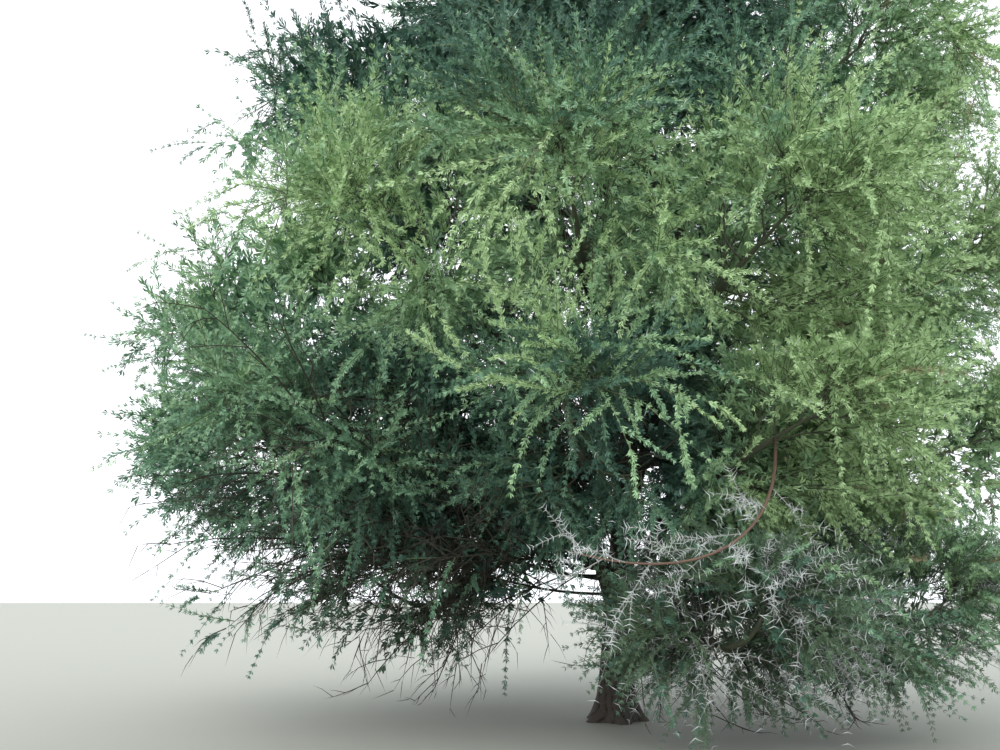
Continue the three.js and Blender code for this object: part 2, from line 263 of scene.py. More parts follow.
for mass in masses:
    placeMass(mass)
massCentre = np.stack([mass["centre"] for mass in masses])
massHalf = np.stack([mass["half"] for mass in masses])
massAxes = np.stack([mass["axes"] for mass in masses])
massLayer = np.array([mass["layer"] for mass in masses])


# Places given as shares of the half-sizes of the masses that own them, outward, sideways and up
def inMass(owner, shares):
    offsets = np.einsum("...a,...ak->...k", shares * massHalf[owner], massAxes[owner])
    return massCentre[owner] + offsets


# How far points (n, 3) lie out in every mass's ellipsoid: 0 at its centre, 1 on its skin
def depths(points):
    offsets = points[:, None, :] - massCentre
    return np.linalg.norm(np.einsum("nmk,mak->nma", offsets, massAxes) / massHalf, axis=-1)


# The same in the whole crown, whose ellipsoid fills the part's box
def crownDepth(points):
    return np.linalg.norm((points - (boxLow + boxHigh) / 2) / ((boxHigh - boxLow) / 2), axis=-1)


# A point keeps to its mass's space if it lies less far out in that mass than in any other
def keepsToSpace(points, owner):
    every = depths(points)
    rows = np.arange(len(owner))
    own = every[rows, owner].copy()
    every[rows, owner] = np.inf
    return (own < tree["whipReach"] + tree["reachStep"]) & (own + tree["massGap"] < every.min(axis=1))


# A cubic curve that leaves the parent along its run, swings out and ends where it enters its mass
def boughCurve(mass, number):
    layer, spec = layers[mass["layer"]], boughSwing
    outward, sideways = mass["axes"][:2]
    isLeader = mass["parent"] == "trunk" and mass["layer"] == "top"
    if mass["parent"] == "trunk":
        foot, run = trunkCentre(mass["at"] * tree["fork"]), zenith
    else:
        parent = limbs[mass["parent"]]["controls"]
        foot, run = curvePoints(parent, [mass["at"]])[0], curveRuns(parent, [mass["at"]])[0]
    tip = inMass(number, np.array([tree["entryDepth"], 0, layer["entry"]]))
    span = tip - foot
    length = np.linalg.norm(span)
    leaving = unit(run * spec["leaderRunShare" if isLeader else "runShare"] + span / length)
    entering = unit(outward + zenith * layer["rise"])
    if isLeader:
        asOthers, up = spec["leaderHeading"]
        entering = unit(entering * asOthers + zenith * up)
    sway = (chance(number, 3) - 0.5) * spec["sway"] * length
    nearTip = tip - entering * spec["entering"] * length + sideways * sway
    return np.stack([foot, foot + leaving * spec["leaving"] * length, nearTip, tip])


# The stem of a mass runs on from its bough's tip through the middle of the space
def stemCurve(number, bough):
    root, heading = bough[3], unit(bough[3] - bough[2])
    end = inMass(number, np.array([tree["stemEnd"], 0, 0.08]))
    return np.stack([root, root + heading * 0.5 * np.linalg.norm(end - root), end])


limbs = {}
for number, mass in enumerate(masses):
    bough = boughCurve(mass, number)
    girth = mass.get("girth", tree["boughRadius"])
    limbs[mass["name"]] = dict(controls=bough, girth=girth, stem=stemCurve(number, bough))
stems = np.stack([limb["stem"] for limb in limbs.values()])
print("limbs placed:", len(limbs) + 1)

limbShares = np.linspace(0, 1, 26)
limbPoints = np.concatenate([curvePoints(limb["controls"], limbShares) for limb in limbs.values()])
limbRadii = np.concatenate([boughRadiusAt(limb["girth"], limbShares) for limb in limbs.values()])


# Whether points lie further from every limb's line than its radius and a little more
def clearOfLimbs(points, room=0.02):
    return np.all(squaresBetween(points, limbPoints) > (limbRadii + room) ** 2, axis=1)


# A socket in Python expressions: each operator adds its Math node
class Signal:
    def __init__(self, finish, socket):
        self.finish = finish
        self.socket = socket

    def join(self, operation, first, second):
        return self.finish.node("ShaderNodeMath", {"operation": operation}, {0: first, 1: second})

    def __add__(self, other):
        return self.join("ADD", self, other)

    def __sub__(self, other):
        return self.join("SUBTRACT", self, other)

    def __rsub__(self, other):
        return self.join("SUBTRACT", other, self)

    def __mul__(self, other):
        return self.join("MULTIPLY", self, other)

    __radd__ = __add__
    __rmul__ = __mul__


def linear(colour):  # of an everyday 0 to 255 colour
    share = np.array(colour) / 255
    return (*np.where(share < 0.04045, share / 12.92, ((share + 0.055) / 1.055) ** 2.4).tolist(), 1.0)


# A material whose shader's plain values are set on its own sockets
class Finish:
    def __init__(self, name, **values):
        self.material = bpy.data.materials.new(name)
        self.material.use_nodes = True
        self.nodes = self.material.node_tree.nodes
        self.links = self.material.node_tree.links
        self.shader = self.nodes["Principled BSDF"]
        for socket, value in values.items():
            self.feed(self.shader.inputs[socket.replace("_", " ")], value)

    def feed(self, socket, value):
        if isinstance(value, Signal):
            self.links.new(value.socket, socket)
        else:
            socket.default_value = value

    # A node's type, the settings that come first, its sockets' values or links, and the output wanted
    def node(self, kind, settings, sockets, output=0):
        made = self.nodes.new(kind)
        for setting, value in settings.items():
            setattr(made, setting, value)
        for socket, value in sockets.items():
            self.feed(made.inputs[socket], value)
        return Signal(self, made.outputs[output])

    def noise(self, scale, detail, roughness=0.5):
        place = self.node("ShaderNodeTexCoord", {}, {}, "Object")
        values = {"Vector": place, "Scale": scale, "Detail": detail, "Roughness": roughness}
        return self.node("ShaderNodeTexNoise", {}, values)

    def mix(self, share, first, second):
        return self.node("ShaderNodeMix", {"data_type": "RGBA"}, {0: share, 6: first, 7: second}, 2)


# A mesh piece from points (n, 3) and sets of faces, each (faces, corners)
def addPiece(name, points, faceSets, finish, slot, smooth=False):
    mesh = bpy.data.meshes.new(name)
    corners = np.concatenate([faces.ravel() for faces in faceSets])
    sizes = np.concatenate([np.full(len(faces), faces.shape[1]) for faces in faceSets])
    mesh.vertices.add(len(points))
    mesh.vertices.foreach_set("co", points.astype(np.float32).ravel())
    mesh.loops.add(len(corners))
    mesh.loops.foreach_set("vertex_index", corners.astype(np.int32))
    mesh.polygons.add(len(sizes))
    mesh.polygons.foreach_set("loop_start", (np.cumsum(sizes) - sizes).astype(np.int32))
    mesh.polygons.foreach_set("use_smooth", np.full(len(sizes), smooth))
    mesh.update(calc_edges=True)
    mesh.materials.append(finish.material)
    piece = bpy.data.objects.new(name, mesh)
    bpy.context.scene.collection.objects.link(piece)
    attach(piece, "root")
    print(name, "triangles:", int(np.sum(sizes - 2)))
    return piece


# The faces of one skin laid on a grid of rings and sides that closes on itself, with a pole at each end
# after the grid's own points: quads between rings, and fans to the poles
def skinFaces(rings, sides):
    ring, side = np.meshgrid(np.arange(rings - 1), np.arange(sides), indexing="ij")
    onward = (side + 1) % sides
    here, there = ring * sides + side, ring * sides + onward
    quads = np.stack([here, there, there + sides, here + sides], axis=-1).reshape(-1, 4)
    around = np.arange(sides)
    beside = (around + 1) % sides
    last = (rings - 1) * sides
    start = np.stack([np.full(sides, rings * sides), beside, around], axis=-1)
    end = np.stack([np.full(sides, rings * sides + 1), last + around, last + beside], axis=-1)
    return quads, np.concatenate([start, end])


# Many equal skins as one: the faces of the first are repeated for each, moved on by its points
def repeatFaces(faces, count, pointsEach):
    return (faces[None] + np.arange(count)[:, None, None] * pointsEach).reshape(-1, faces.shape[1])


# Different skins as one, each a pair of its points and its sets of faces
def joinSkins(skins):
    starts = np.cumsum([0] + [len(points) for points, _ in skins])
    faceSets = [faces + start for (_, sets), start in zip(skins, starts) for faces in sets]
    return np.concatenate([points for points, _ in skins]), faceSets


# Furrows from 0 on a ridge to 1 in a cleft: the cube of what a rectified sine round the limb leaves,
# which two slow sines along the limb make wander, so that the clefts join and part
def barkFurrows(angle, along, ridges, stretch, salt):
    wander = 0.9 * np.sin(2.1 * along / stretch + 2 * angle + salt)
    wander = wander + 0.5 * np.sin(5.3 * along / stretch + 3 * angle + 2 * salt)
    cleft = (1 - np.abs(np.sin(ridges * angle / 2 + wander))) ** 3
    broken = 0.65 + 0.35 * np.sin(9 * along / stretch + 4 * angle + 3 * salt)
    return cleft * broken


trunkBark = {
    "rings": 110, "sides": 108, "ridges": 17, "stretch": 0.2,
    "depth": 0.016,  # of a cleft
    "lumps": (0.03, 0.02),  # shares of the radius
    "shoulder": 0.16,  # the height over which the top closes in round the leader
    "topShare": 0.72,  # of the radius that is left there
    "bark": (66, 60, 54), "cleft": (26, 23, 21), "lichen": (86, 88, 78), "grain": 42.0,
}


# Level rings on the leaning centre line, their radius by the part's rule less the clefts. The top
# closes in on the leader by the root of a falling share.
def trunkSurface():
    spec = trunkBark
    along = np.linspace(0, 1, spec["rings"])[:, None] * tree["fork"]
    angle = np.linspace(0, 2 * math.pi, spec["sides"], endpoint=False)[None, :]
    furrow = barkFurrows(angle, along, spec["ridges"], spec["stretch"], 1.0)
    broad, fine = spec["lumps"]
    lumps = 1 + broad * np.sin(3 * angle + 4 * along) + fine * np.sin(2 * angle - 7 * along)
    left = np.clip((tree["fork"] - along) / spec["shoulder"], 0, 1)
    closing = spec["topShare"] + (1 - spec["topShare"]) * np.sqrt(left * (2 - left))
    radius = trunkRadiusAt(along, angle) * lumps * closing - spec["depth"] * furrow
    ring = np.stack(np.broadcast_arrays(np.cos(angle), np.sin(angle), 0 * angle), axis=-1)
    points = trunkCentre(along[:, 0])[:, None, :] + column(radius) * ring
    poles = trunkCentre(np.array([0, tree["fork"]]))
    return np.concatenate([points.reshape(-1, 3), poles]), np.append(furrow.ravel(), [0, 0])


boughBark = {
    "greatGirth": 0.08,
    "great": (150, 44, 9),  # rings, sides and ridges of limbs from that girth up
    "lesser": (64, 14, 5),
    "stretch": 0.16,
    "depth": 0.055,  # of a cleft, as a share of the radius
    "lumps": (0.035, 0.025),
    "collar": 0.4,  # how much a bough swells where it leaves its parent
    "collarLength": 1.6,  # over how many of its girths that falls off
    "stemTaper": 0.72,  # the share of the radius that a stem loses
    "bark": (64, 58, 52), "cleft": (24, 22, 20), "lichen": (84, 86, 76), "young": (88, 92, 74), "grain": 60.0,
}


# One skin from a bough's foot to the end of its mass's stem, and the shares of furrow and of young bark
# at its points. Its line is cut into even steps, and its radius follows the part's taper, swells in a
# collar past the parent's skin, and is cut by furrows.
def limbSurface(name, number):
    spec, limb = boughBark, limbs[name]
    rings, sides, ridges = spec["great" if limb["girth"] >= spec["greatGirth"] else "lesser"]
    shares = np.linspace(0, 1, 160)
    line = np.concatenate([curvePoints(limb["controls"], shares), curvePoints(limb["stem"], shares)[1:]])
    lengths = np.append(0, np.cumsum(np.linalg.norm(np.diff(line, axis=0), axis=1)))
    boughLength, whole = lengths[len(shares) - 1], lengths[-1]
    along = np.linspace(0, whole, rings)
    centre = np.stack([np.interp(along, lengths, line[:, k]) for k in range(3)], axis=-1)
    run = unit(np.gradient(centre, axis=0))
    across, over = squareTo(run, helperFor(line[-1] - line[0]))
    share = np.clip(along / boughLength, 0, 1)
    beyond = np.clip((along - boughLength) / (whole - boughLength), 0, 1)
    radius = boughRadiusAt(limb["girth"], share) * (1 - spec["stemTaper"] * beyond)
    parent = masses[number]["parent"]
    parentRadius = tree["trunkRadius"] if parent == "trunk" else limbs[parent]["girth"] * 0.8
    past = np.clip(along - parentRadius, 0, None) / (spec["collarLength"] * limb["girth"])
    radius = radius * (1 + spec["collar"] * np.exp(-past))
    radius = radius * np.clip(0.45 + 0.55 * along / parentRadius, 0, 1)
    angle = np.linspace(0, 2 * math.pi, sides, endpoint=False)[None, :]
    upward = along[:, None]
    furrow = barkFurrows(angle, upward, ridges, spec["stretch"], number * 1.7)
    broad, fine = spec["lumps"]
    lumps = broad * np.sin(2 * angle + 3 * upward + number) + fine * np.sin(5 * upward + number)
    radius = radius[:, None] * (1 + lumps - spec["depth"] * furrow)
    ring = column(np.cos(angle)) * across[:, None] + column(np.sin(angle)) * over[:, None]
    points = centre[:, None] + column(radius) * ring
    poles = centre[[0, -1]] + run[[0, -1]] * np.array([[0], [0.02]])
    young = np.append(np.repeat(np.clip(beyond * 3 + share * 2 - 1.6, 0, 1), sides), [0, 1])
    skin = np.concatenate([points.reshape(-1, 3), poles]), skinFaces(rings, sides)
    return skin, np.append(furrow.ravel(), [0, 0]), young


barkLook = {
    "patches": 3.0,  # the scale of the crusts' noise
    "crustRange": (0.52, 0.68),  # of that noise
    "crustCover": 0.55,
    "furrowShade": 1.5,
    "grainShade": 0.9,
    "lightest": 0.35,  # taken off the two shades together
    "roughness": (0.78, 0.2),  # least, and more by the grain
    "bump": 0.6,
    "bumpDepth": 0.006,
}


# Ridges pale and clefts dark by the furrow attribute, with a finer grain and pale crusts from noise
def barkFinish(name, spec):
    look, finish = barkLook, Finish(name, Metallic=0.0)
    furrow = finish.node("ShaderNodeAttribute", {"attribute_name": "furrow"}, {}, "Fac")
    fine = finish.noise(spec["grain"], 6.0, 0.65)
    patches = finish.noise(look["patches"], 3.0)
    low, high = look["crustRange"]
    crust = finish.node("ShaderNodeMapRange", {}, {"Value": patches, "From Min": low, "From Max": high})
    shade = furrow * look["furrowShade"] + fine * look["grainShade"] - look["lightest"]
    shade = finish.node("ShaderNodeMapRange", {}, {"Value": shade})
    wood = finish.mix(shade, linear(spec["bark"]), linear(spec["cleft"]))
    if "young" in spec:
        young = finish.node("ShaderNodeAttribute", {"attribute_name": "young"}, {}, "Fac")
        wood = finish.mix(young, wood, linear(spec["young"]))
    wood = finish.mix(crust * (1 - shade) * look["crustCover"], wood, linear(spec["lichen"]))
    finish.feed(finish.shader.inputs["Base Color"], wood)
    least, more = look["roughness"]
    finish.feed(finish.shader.inputs["Roughness"], least + fine * more)
    values = {"Strength": look["bump"], "Distance": look["bumpDepth"], "Height": fine - furrow}
    finish.feed(finish.shader.inputs["Normal"], finish.node("ShaderNodeBump", {}, values))
    return finish


def addShares(piece, name, shares):
    layer = piece.data.attributes.new(name, "FLOAT", "POINT")
    layer.data.foreach_set("value", shares.astype(np.float32))


points, furrow = trunkSurface()
faces = skinFaces(trunkBark["rings"], trunkBark["sides"])
finish = barkFinish("trunkBark", trunkBark)
trunkPiece = addPiece("trunkBark", points, faces, finish, "bark", smooth=True)
addShares(trunkPiece, "furrow", furrow)
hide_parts("trunk")

surfaces = [limbSurface(name, number) for number, name in enumerate(limbs)]
points, faces = joinSkins([skin for skin, _, _ in surfaces])
finish = barkFinish("boughBark", boughBark)
boughPiece = addPiece("boughBark", points, faces, finish, "bough_bark", smooth=True)
addShares(boughPiece, "furrow", np.concatenate([furrow for _, furrow, _ in surfaces]))
addShares(boughPiece, "young", np.concatenate([young for _, _, young in surfaces]))
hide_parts(*["bough_" + name for name in limbs])

foliage = {
    "twigs": 22,  # from the stem of each mass
    "newReach": (0.6, 0.44),  # of those past the part's own, at least and more by chance
    "arch": (0.14, -0.1),  # of a twig's middle, as a share of its length, and of the lowest twigs'
    "sway": 0.14,  # of its middle to any side
    "sideTwigs": 4,  # on each of them
    "sideLean": (0.25, 1.0),
    "sideReach": (0.2, 1.6),  # of its tip, cubed
    "sideBehind": 0.4,  # of the twig, by which its foot lies behind its tip
    "sideFeet": (0.1, 0.92),  # the shares of the twig between which its foot stays
    "lift": (-0.08, 0.2),  # of its middle
    "leadLength": 0.45,  # of the shoot that leads on from a side twig's end
    "boughTwigs": 16,  # on each bough
    "boughTwigFeet": (0.15, 0.83),  # the first share of the bough, and over how much they are spaced
    "boughTwigHeading": (0.2, 0.5),  # how much it turns up and outward
    "boughTwigDepth": 0.95,  # of the crown, which it stays inside
    "boughTwigLean": (0.7, 1.2),
    "boughTwigLength": (0.4, 1.1),
    "boughTwigHeight": 1.9,  # no bough has any below this
    "gapTries": 3000,  # places tried for the twigs between masses, a third of them in front only
    "gapDepths": (0.85, 1.85),  # at least this far out in every mass, and at most that far in two
    "gapShell": (0.5, 0.95),  # and this far out in the crown
    "gapHeights": (0.6, 1.7),  # above the ground, on the right and on the left
    "gapLength": 1.7,
    "gapLeadLength": 0.4,
    "shoots": 5,  # on each twig of any kind
    "shootFeet": (0.22, 0.78),
    "shootLean": (0.55, 1.15),
    "shootLength": (0.42, 0.95),
    "outward": 0.45,  # how much it heads away from its mass's middle
    "upward": 0.3,  # and up, on the upper side of its mass
    "drawnIn": 0.6,  # to this share of its length
    "whips": 0.05,  # the share of shoots that grow half as long again
    "bend": (-0.14, 0.3),  # of a shoot's middle upwards
    "swing": 0.15,  # of its tip to any side
    "droop": 0.1,  # of its tip
    "innerKept": 0.35,  # the share of shoots kept deep inside the crown
    "innerDepth": 0.25,  # from here out more are kept
    "innerSpan": 0.5,  # and all of them this much further out
    "overhang": 0.12,  # of a shoot's tip past the part's box
    "lowest": 0.1,  # above the ground
    "skinDepth": (0.7, 0.78),  # of the crown, where the leaves of its skin begin in front and behind
    "coreDepth": (0.5, 0.66),  # of a mass, where they end again inside it
    "bareLeft": 0.7,  # the share of the hem's twigs that are bare on the left, in front and behind
    "bareFront": 0.36,
    "bareBack": 0.08,
    "twigRadii": (0.012, 0.005),
    "sideRadii": (0.007, 0.003),
    "shootRadii": (0.006, 0.002),
    "bareRadii": (0.0055, 0.0015),
}

# Leaves are finest on the front of the crown's skin, and fewest and largest inside it
leafKinds = {
    "front": dict(tufts=13, each=3, length=0.061, width=0.4, lean=(0.35, 0.9)),
    "whip": dict(tufts=23, each=3, length=0.066, width=0.42, lean=(0.35, 0.85)),
    "spray": dict(tufts=16, each=3, length=0.054, width=0.42, lean=(0.35, 0.8)),
    "back": dict(tufts=8, each=2, length=0.11, width=0.42, lean=(0.3, 0.75)),
    "between": dict(tufts=8, each=2, length=0.105, width=0.42, lean=(0.3, 0.75)),
    "inner": dict(tufts=5, each=2, length=0.165, width=0.5, lean=(0.2, 0.6)),
}

# Rounded places where the crown is open
hollows = {
    "in front of the trunk": dict(centre=(0.1, -3.2, 3.0), half=(0.5, 1.9, 0.55)),
    "under the left skirt": dict(centre=(-1.6, -3.6, 2.1), half=(1.15, 1.6, 0.5)),
}

# The crown's left edge as seen in front: heights, and how far to the side it lies there. Past it the
# sky shows between the shoots.
leftEdge = {"heights": (4.06, 4.55, 4.86, 7.45), "sides": (-4.72, -3.8, -3.3, -3.4), "kept": 0.4}


# Places as seen in front: where the line from the eye to each point meets an upright plane
def seenPlaces(points):
    fromEye = points - eye
    return (eye + fromEye * column(view["seenPlane"] / fromEye[:, 1]))[:, [0, 2]]


# The other way round: the points on the lines from the eye to such places, these distances off
def pointsSeen(places, distances):
    onPlane = np.insert(places, 1, eye[1] + view["seenPlane"], axis=1)
    return eye + (onPlane - eye) * column(distances / view["seenPlane"])


# Shares of each parent where its twigs leave it: even steps, with a drawn part of a step added to each
def spacedShares(size, first, span, most=1):
    return first + span * (np.arange(size[1])[None, :] + draws.uniform(0, most, size)) / size[1]


# Turns for the twigs on each parent, on by the golden angle from a drawn start
def goldenTurns(count, each):
    return np.arange(each)[None, :] * goldenAngle + draws.uniform(0, wholeTurn, (count, 1))


# Where twigs leave their parents, and their headings: each leans off its parent's run by its spread, to
# the side that its turn points to
def leaveParents(parents, share, turn, spread):
    foot, run = curvePoints(parents, share), curveRuns(parents, share)
    across, over = squareTo(run, helperFor(parents[:, -1] - parents[:, 0])[:, None])
    turn, spread = column(turn), column(spread)
    return foot, run * np.cos(spread) + (across * np.cos(turn) + over * np.sin(turn)) * np.sin(spread)


# Lengths from foot to tip, and the twigs' own ends, which stop short of the tips for a leading shoot
def stopShort(foot, tip, short, least=0.5):
    length = np.linalg.norm(tip - foot, axis=1, keepdims=True)
    return length, foot + (tip - foot) * np.maximum(1 - short / length, least)


# The nearest places to the points among those at some shares of the twigs, and those twigs' numbers
def nearestOnTwigs(points, twigs, shares):
    places = curvePoints(twigs, np.broadcast_to(shares, (len(twigs), len(shares)))).reshape(-1, 3)
    nearest = np.argmin(squaresBetween(points, places), axis=1)
    return places[nearest], nearest // len(shares)


# Twigs by the part's rule, whose first eight in each mass are the part's own. Directions lie evenly all
# round, each twig reaches as far as its mass's space goes that way, and its foot on the stem lies behind.
def growTwigs():
    owner = np.repeat(np.arange(len(masses)), foliage["twigs"])
    number = np.tile(np.arange(foliage["twigs"]), len(masses))
    salt = owner + 1
    level = 1 - 2 * np.mod(0.5 + number * tree["levelStep"], 1)
    angle = number * goldenAngle + 0.5 * chance(salt, 5)
    ring = np.sqrt(1 - level**2)
    ways = np.stack([ring * np.cos(angle), ring * np.sin(angle), level], axis=-1)
    isNew = number >= tree["partTwigs"]
    least, more = foliage["newReach"]
    reach = tree["furthestReach"] - tree["lostReach"] * chance(number, salt)
    reach = np.where(isNew, least + more * chance(number, salt + 9), reach)
    reach[number == 0] = tree["whipReach"]
    for _ in range(18):
        outside = ~keepsToSpace(inMass(owner, ways * column(reach)), owner) & (reach > tree["leastReach"])
        reach = reach - tree["reachStep"] * outside
    tip = inMass(owner, ways * column(reach))
    root, end = stems[owner, 0], stems[owner, 2]
    runLength = np.linalg.norm(end - root, axis=1)
    offset = tip - root
    along = np.sum(offset * (end - root), axis=1) / runLength
    beside = np.sqrt(np.maximum(np.sum(offset**2, axis=1) - along**2, 0))
    share = np.clip((along - tree["footBehind"] * beside) / runLength, *tree["footShares"])
    foot = curvePoints(stems[owner], column(share))[:, 0]
    length, aim = stopShort(foot, tip, 0.6 * tree["sprayLength"], 0.45)
    arch = length * column(np.where(level > -0.3, *foliage["arch"]))
    sway = draws.normal(0, foliage["sway"], (len(owner), 3)) * length * column(isNew)
    middle = (foot + aim) / 2 + arch * zenith + sway
    return keptTwigs(np.stack([foot, middle, aim], axis=1), tip, owner)


# Those that keep to their space and clear of limbs at three places along them
def keptTwigs(controls, tip, owner):
    kept = np.ones(len(owner), dtype=bool)
    for part in (0.35, 0.7, 1):
        point = curvePoints(controls, np.full((len(owner), 1), part))[:, 0]
        kept &= keepsToSpace(point, owner) & clearOfLimbs(point)
    return controls[kept], tip[kept], owner[kept]


# Side twigs fan out from each twig to tips that fill its mass evenly. In shares of the mass's
# half-sizes, a tip's way is the twig's own, leaned aside, and its distance out is the cube root of an
# even draw. It is drawn in to the space, and its foot on the twig lies behind it.
def growSideTwigs(twigs, tips, owner):
    each = foliage["sideTwigs"]
    count = len(twigs)
    way = np.einsum("nk,nak->na", tips - massCentre[owner], massAxes[owner]) / massHalf[owner]
    reach = np.linalg.norm(way, axis=1)[:, None]
    way = (way / reach)[:, None]
    across, over = squareTo(way, helperFor(way))
    turn = goldenTurns(count, each)
    beside = across * column(np.cos(turn)) + over * column(np.sin(turn))
    aside = draws.uniform(*foliage["sideLean"], (count, each))
    far = np.cbrt(draws.uniform(*foliage["sideReach"], (count, each)))
    shares = unit(way + beside * column(aside)) * column(far)
    back = far / np.hypot(1, aside) / reach
    share = np.clip(1.05 * back - foliage["sideBehind"], *foliage["sideFeet"])
    foot = curvePoints(twigs, share).reshape(-1, 3)
    owner = np.repeat(owner, each)
    tip = inMass(owner, shares.reshape(-1, 3))
    for _ in range(8):
        outside = column(~keepsToSpace(tip, owner))
        tip = np.where(outside, tip + (massCentre[owner] - tip) * 0.1, tip)
    length, aim = stopShort(foot, tip, foliage["leadLength"])
    lift = column(draws.uniform(*foliage["lift"], len(foot)))
    sway = draws.normal(0, foliage["sway"], foot.shape) * length
    middle = (foot + aim) / 2 + zenith * lift * length + sway
    return keptTwigs(np.stack([foot, middle, aim], axis=1), tip, owner)


# Short side twigs leave the outer part of every bough that is well above the ground. They stay inside
# the crown and close its middle.
def growBoughTwigs():
    each, lowest = foliage["boughTwigs"], foliage["boughTwigHeight"]
    boughs = np.stack([limb["controls"] for limb in limbs.values()])
    size = (len(boughs), each)
    share = spacedShares(size, *foliage["boughTwigFeet"])
    turn = goldenTurns(*size)
    foot, heading = leaveParents(boughs, share, turn, draws.uniform(*foliage["boughTwigLean"], size))
    up, outward = foliage["boughTwigHeading"]
    heading = unit(heading + up * zenith + outward * unit(foot * np.array([1, 1, 0])))
    length = column(draws.uniform(*foliage["boughTwigLength"], size))
    aim = foot + heading * length
    middle = foot + heading * length * 0.5 + zenith * length * 0.1
    tip = aim + heading * foliage["leadLength"] - zenith * 0.08
    foot, middle, aim, tip = [points.reshape(-1, 3) for points in (foot, middle, aim, tip)]
    kept = (foot[:, 2] > lowest) & (tip[:, 2] > lowest - 0.4)
    kept &= (crownDepth(tip) < foliage["boughTwigDepth"]) & clearOfLimbs(middle) & clearOfLimbs(aim)
    owner = np.repeat(np.arange(len(boughs)), each)
    return np.stack([foot, middle, aim], axis=1)[kept], tip[kept], owner[kept]


# Twigs to places in the gaps between neighbouring masses, each from the nearest point of a mass's twig.
# Places are tried evenly in all directions from the crown's middle, within a shell.
def growGapTwigs(twigs, owner):
    ways = unit(draws.normal(0, 1, (foliage["gapTries"], 3)))
    ways[::3, 1] = -np.abs(ways[::3, 1])
    shell = column(draws.uniform(*foliage["gapShell"], len(ways)))
    tip = (boxLow + boxHigh) / 2 + ways * shell * (boxHigh - boxLow) / 2
    near = np.sort(depths(tip), axis=1)
    least, most = foliage["gapDepths"]
    lowest = np.where(tip[:, 0] > -0.5, *foliage["gapHeights"])
    tip = tip[(near[:, 0] > least) & (near[:, 1] < most) & (tip[:, 2] > lowest)]
    foot, twig = nearestOnTwigs(tip, twigs, np.linspace(0.25, 0.95, 6))
    length, aim = stopShort(foot, tip, foliage["gapLeadLength"])
    middle = (foot + aim) / 2 + zenith * column(draws.uniform(*foliage["lift"], len(foot))) * length
    kept = (length[:, 0] < foliage["gapLength"]) & clearOfLimbs(middle) & clearOfLimbs(aim)
    return np.stack([foot, middle, aim], axis=1)[kept], tip[kept], owner[twig][kept]


# Bare shaded twigs hang under the low boughs, in three orders: arcs on each limb each time that it is
# named, side twigs on each arc, and ends on each of those
tangle = {
    "limbs": (
        "skirt_left", "skirt_left", "hem_left", "hem_left", "shoulder_front_left", "shoulder_front_left",
        "skirt_left_front", "skirt_left_front", "skirt_front", "shoulder_left", "skirt_front_right",
        "skirt_right", "skirt_back_left", "skirt_back_right", "hem_front", "hem_right",
    ),
    "orders": (
        dict(each=9, lengths=(0.9, 2.3), lean=(0.7, 1.3), fall=(0.05, 0.5), radii=(0.012, 0.005), rings=5),
        dict(each=5, lengths=(0.35, 0.9), lean=(0.4, 0.9), fall=(-0.1, 0.35), radii=(0.007, 0.003), rings=3),
        dict(each=3, lengths=(0.15, 0.4), lean=(0.4, 0.9), fall=(-0.1, 0.3), radii=(0.0045, 0.002), rings=2),
    ),
    "feet": (0.18, 0.8),  # the first share of a parent, and over how much they are spaced
    "lowest": 0.25,  # above the ground
}

# Long bare limbs sweep out to the left in front, from the feet of the low boughs
sweeps = {
    "count": 14,
    "limbs": ("skirt_left", "shoulder_front_left", "hem_left", "skirt_left_front"),
    "feet": (0.05, 0.25),  # shares of those boughs
    "azimuths": (194, 240),
    "astray": 6,  # degrees off at most, by chance
    "lengths": (2.2, 3.7),
    "rise": (-0.06, 0.28),  # of the tip, as a share of the length
    "sag": (0.02, 0.14),  # of the middle under the straight line
    "radii": (0.022, 0.006),
    "sides": dict(each=7, lengths=(0.9, 2.3), lean=(0.25, 0.7), fall=(-0.15, 0.2)),
    "leafyEvery": 3,  # of the sides
}


# Twigs of one order. Each leaves its parent to the side and droops to its tip, by a fall that grows
# with its length.
def growTangle(parents, spec):
    size = (len(parents), spec["each"])
    share = spacedShares(size, *tangle["feet"])
    turn = draws.uniform(0, wholeTurn, size)
    foot, heading = leaveParents(parents, share, turn, draws.uniform(*spec["lean"], size))
    length = column(draws.uniform(*spec["lengths"], size))
    drop = column(draws.uniform(*spec["fall"], size))
    tip = foot + (heading * 0.9 - zenith * drop) * length
    middle = foot + (heading * 0.55 + zenith * 0.05) * length
    controls = np.stack([foot, middle, tip], axis=2).reshape(-1, 3, 3)
    controls[:, 1:, 2] = np.maximum(controls[:, 1:, 2], tangle["lowest"])
    return controls


# The sweeps' feet lie on the boughs' first quarters, and their tips fan out evenly over the azimuths
def growSweeps():
    count, astray = sweeps["count"], sweeps["astray"]
    boughs = np.stack([limbs[name]["controls"] for name in sweeps["limbs"]])
    boughs = boughs[np.arange(count) % len(boughs)]
    foot = curvePoints(boughs, draws.uniform(*sweeps["feet"], (count, 1)))[:, 0]
    azimuth = np.radians(np.linspace(*sweeps["azimuths"], count) + draws.uniform(-astray, astray, count))
    way = np.stack([np.cos(azimuth), np.sin(azimuth), draws.uniform(*sweeps["rise"], count)], axis=-1)
    length = column(draws.uniform(*sweeps["lengths"], count))
    sag = column(draws.uniform(*sweeps["sag"], count))
    return np.stack([foot, foot + (way * 0.55 - zenith * sag) * length, foot + way * length], axis=1)


